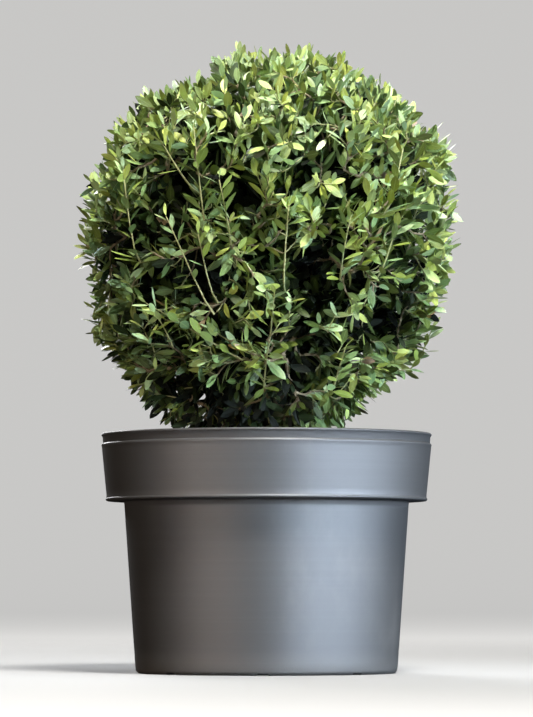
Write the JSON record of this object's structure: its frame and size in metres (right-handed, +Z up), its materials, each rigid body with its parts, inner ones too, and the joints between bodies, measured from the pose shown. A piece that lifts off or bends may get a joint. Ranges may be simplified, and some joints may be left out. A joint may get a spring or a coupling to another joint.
{
  "type": "potted japanese holly",
  "caption": "Evergreen shrub clipped to a loose ball on a short branching trunk, in a round tapered grey plastic nursery pot with a deep rim band, filled with soil and fibre mulch.",
  "frame": {"origin": "middle of the pot's flat underside", "axes": "+Z up the plant from the pot's underside to the crown; the front faces -Y and +X is to its right"},
  "size_m": [0.2613, 0.255, 0.4212],
  "materials": {
    "pot_plastic": "moulded grey polypropylene with a soft satin sheen and faint turning lines",
    "soil": "dark moist peat mix, crumbly and dull",
    "mulch": "dry tan fibres and chips, dull",
    "bark": "smooth pale grey-brown bark with fine cracks and small pale pores",
    "foliage": "small glossy evergreen leaves, dark inside the crown and yellow-green at the tips"
  },
  "bodies": {
    "root": {"pot": "pot_plastic", "potting_soil": "soil", "fibre_mulch": "mulch", "trunk": "bark", "bough_top": "bark", "bough_upper_1": "bark", "bough_upper_2": "bark", "bough_upper_3": "bark", "bough_upper_4": "bark", "bough_upper_5": "bark", "bough_middle_1": "bark", "bough_middle_2": "bark", "bough_middle_3": "bark", "bough_middle_4": "bark", "bough_middle_5": "bark", "bough_middle_6": "bark", "bough_skirt_1": "bark", "bough_skirt_2": "bark", "bough_skirt_3": "bark", "bough_skirt_4": "bark", "bough_skirt_5": "bark", "foliage_top": "foliage", "foliage_upper_1": "foliage", "foliage_upper_2": "foliage", "foliage_upper_3": "foliage", "foliage_upper_4": "foliage", "foliage_upper_5": "foliage", "foliage_middle_1": "foliage", "foliage_middle_2": "foliage", "foliage_middle_3": "foliage", "foliage_middle_4": "foliage", "foliage_middle_5": "foliage", "foliage_middle_6": "foliage", "foliage_skirt_1": "foliage", "foliage_skirt_2": "foliage", "foliage_skirt_3": "foliage", "foliage_skirt_4": "foliage", "foliage_skirt_5": "foliage"}
  },
  "joints": []
}
